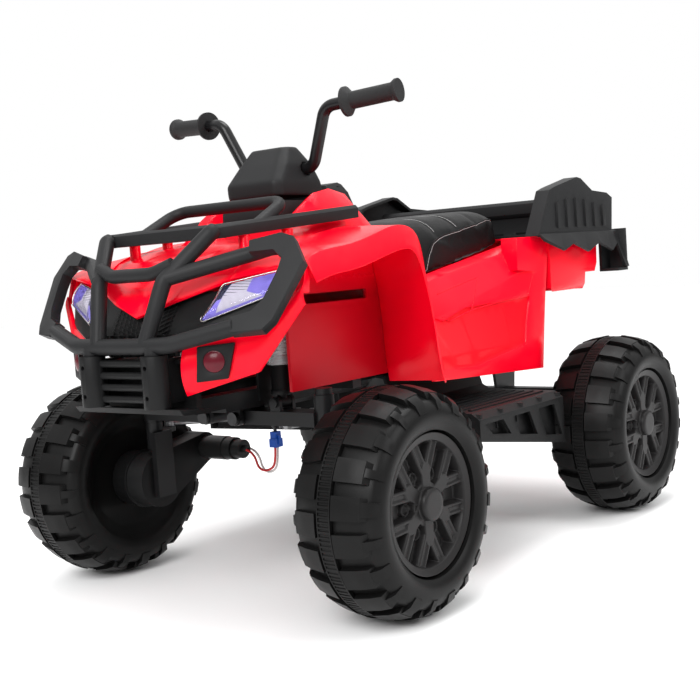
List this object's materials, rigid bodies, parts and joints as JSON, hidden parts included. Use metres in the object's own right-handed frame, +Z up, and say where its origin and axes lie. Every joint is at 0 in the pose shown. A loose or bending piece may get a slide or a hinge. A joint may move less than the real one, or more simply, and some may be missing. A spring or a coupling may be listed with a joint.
{
  "type": "kids ride-on quad bike",
  "caption": "Child's ride-on quad bike with lugged wheels, steered and sprung front end, padded seat, handlebar, tubular front guard and cargo racks.",
  "frame": {"origin": "on the floor, under the middle of the vehicle's overall box", "axes": "+Z up, the front faces -Y, the rider's left is +X"},
  "size_m": [0.708, 1.084, 0.731],
  "materials": {
    "tyre_black": "satin blow-moulded plastic",
    "wheel_grey": "satin moulded plastic",
    "red_gloss": "high-gloss moulded plastic",
    "black_plastic": "fine-grained moulded plastic",
    "frame_black": "black powder coat",
    "bar_gloss": "gloss black paint",
    "steel": "zinc-plated steel",
    "motor_black": "satin black paint",
    "seat_leather": "grained leatherette with pale stitching",
    "grip_rubber": "matt moulded rubber",
    "lamp_clear": "clear tinted lens",
    "sleeve_clear": "clear plastic",
    "fog_red": "gloss red lens",
    "battery_grey": "satin plastic",
    "button_green": "gloss plastic",
    "rocker_red": "gloss plastic",
    "lead_rubber": "insulated wire",
    "plug_blue": "moulded plastic"
  },
  "bodies": {
    "chassis": {"main_frame": "frame_black", "arm_pivot_bolts": "steel", "rear_axle": "steel", "rear_gearboxes": "black_plastic", "rear_motors": "motor_black", "floor_tub": "black_plastic", "battery": "battery_grey", "control_box": "black_plastic", "hood": "red_gloss", "dash_cowl": "black_plastic", "seat": "seat_leather", "rear_body": "red_gloss", "rear_rack": "black_plastic", "front_rack": "black_plastic", "bumper_guard": "black_plastic", "skid_plate": "black_plastic", "grille_panel": "black_plastic", "fog_lamp_bezels": "black_plastic", "fog_lamp_lenses": "fog_red", "shock_sleeves": "sleeve_clear", "front_fender_left": "red_gloss", "front_fender_right": "red_gloss", "side_panel_left": "red_gloss", "side_panel_right": "red_gloss", "headlamp_lens_left": "lamp_clear", "headlamp_lens_right": "lamp_clear", "footboard_left": "black_plastic", "footboard_right": "black_plastic", "shock_spring_left": "steel", "shock_spring_right": "steel"},
    "steering": {"steering_shaft": "steel", "handlebar": "bar_gloss", "handlebar_pod": "black_plastic", "grip_left": "grip_rubber", "grip_right": "grip_rubber"},
    "pedal": {"throttle_pedal": "black_plastic"},
    "power": {"power_button": "button_green"},
    "rocker": {"direction_rocker": "rocker_red"},
    "arm_left": {"suspension_arm_left": "frame_black"},
    "shock_left": {"shock_tube_left": "black_plastic"},
    "knuckle_left": {"knuckle_left": "frame_black", "gearbox_front_left": "black_plastic", "motor_front_left": "motor_black"},
    "tie_rod_left": {"tie_rod_left": "steel"},
    "wheel_front_left": {"tyre_front_left": "tyre_black", "wheel_disc_front_left": "wheel_grey"},
    "wheel_rear_left": {"tyre_rear_left": "tyre_black", "wheel_disc_rear_left": "wheel_grey"},
    "arm_right": {"suspension_arm_right": "frame_black", "motor_lead": "lead_rubber", "lead_plug": "plug_blue"},
    "shock_right": {"shock_tube_right": "black_plastic"},
    "knuckle_right": {"knuckle_right": "frame_black", "gearbox_front_right": "black_plastic", "motor_front_right": "motor_black"},
    "tie_rod_right": {"tie_rod_right": "steel"},
    "wheel_front_right": {"tyre_front_right": "tyre_black", "wheel_disc_front_right": "wheel_grey"},
    "wheel_rear_right": {"tyre_rear_right": "tyre_black", "wheel_disc_rear_right": "wheel_grey"}
  },
  "joints": [
    {"name": "steering_turn", "type": "hinge", "parent": "chassis", "child": "steering", "pos_m": [0, -0.205, 0.4], "axis": [0, 0, 1], "range_deg": [-22, 22]},
    {"name": "arm_bump_left", "type": "hinge", "parent": "chassis", "child": "arm_left", "pos_m": [0.03, -0.322, 0.262], "axis": [0, -1, 0], "range_deg": [0, 3], "stiffness_Nm_per_rad": 130, "springref_deg": -8.59, "deforming": ["shock_spring_left"]},
    {"name": "shock_swing_left", "type": "hinge", "parent": "arm_left", "child": "shock_left", "pos_m": [0.098, -0.322, 0.284], "axis": [0, -1, 0], "range_deg": [-3, 0]},
    {"name": "knuckle_turn_left", "type": "hinge", "parent": "arm_left", "child": "knuckle_left", "pos_m": [0.175, -0.322, 0.262], "axis": [0, 0, 1], "range_deg": [-22, 22]},
    {"name": "tie_rod_swing_left", "type": "hinge", "parent": "knuckle_left", "child": "tie_rod_left", "pos_m": [0.189, -0.277, 0.236], "axis": [0, 0, 1], "range_deg": [-22, 22]},
    {"name": "wheel_spin_front_left", "type": "hinge", "parent": "knuckle_left", "child": "wheel_front_left", "pos_m": [0.286, -0.322, 0.155], "axis": [1, 0, 0], "continuous": true},
    {"name": "wheel_spin_rear_left", "type": "hinge", "parent": "chassis", "child": "wheel_rear_left", "pos_m": [0.286, 0.358, 0.155], "axis": [1, 0, 0], "continuous": true},
    {"name": "arm_bump_right", "type": "hinge", "parent": "chassis", "child": "arm_right", "pos_m": [-0.03, -0.322, 0.262], "axis": [0, 1, 0], "range_deg": [0, 3], "stiffness_Nm_per_rad": 130, "springref_deg": -8.59, "deforming": ["shock_spring_right"]},
    {"name": "shock_swing_right", "type": "hinge", "parent": "arm_right", "child": "shock_right", "pos_m": [-0.098, -0.322, 0.284], "axis": [0, 1, 0], "range_deg": [-3, 0]},
    {"name": "knuckle_turn_right", "type": "hinge", "parent": "arm_right", "child": "knuckle_right", "pos_m": [-0.175, -0.322, 0.262], "axis": [0, 0, 1], "range_deg": [-22, 22], "deforming": ["motor_lead"]},
    {"name": "tie_rod_swing_right", "type": "hinge", "parent": "knuckle_right", "child": "tie_rod_right", "pos_m": [-0.189, -0.277, 0.236], "axis": [0, 0, 1], "range_deg": [-22, 22]},
    {"name": "wheel_spin_front_right", "type": "hinge", "parent": "knuckle_right", "child": "wheel_front_right", "pos_m": [-0.286, -0.322, 0.155], "axis": [1, 0, 0], "continuous": true},
    {"name": "wheel_spin_rear_right", "type": "hinge", "parent": "chassis", "child": "wheel_rear_right", "pos_m": [-0.286, 0.358, 0.155], "axis": [1, 0, 0], "continuous": true},
    {"name": "pedal_press", "type": "hinge", "parent": "chassis", "child": "pedal", "pos_m": [-0.208, 0.012, 0.251], "axis": [1, 0, 0], "range_deg": [0, 10], "stiffness_Nm_per_rad": 1.5, "springref_deg": -11.46},
    {"name": "power_press", "type": "slide", "parent": "chassis", "child": "power", "axis": [0, -0.8528, -0.5222], "range_m": [0, 0.003], "stiffness_N_per_m": 400, "springref_m": -0.002},
    {"name": "rocker_tilt", "type": "hinge", "parent": "chassis", "child": "rocker", "pos_m": [0.022, -0.0827, 0.5715], "axis": [1, 0, 0], "range_deg": [-8, 8]}
  ],
  "couplings": [
    {"joint": "knuckle_turn_left", "follows": "steering_turn", "ratio": 1},
    {"joint": "tie_rod_swing_left", "follows": "steering_turn", "ratio": -1},
    {"joint": "shock_swing_left", "follows": "arm_bump_left", "ratio": -1},
    {"joint": "knuckle_turn_right", "follows": "steering_turn", "ratio": 1},
    {"joint": "tie_rod_swing_right", "follows": "steering_turn", "ratio": -1},
    {"joint": "shock_swing_right", "follows": "arm_bump_right", "ratio": -1}
  ]
}
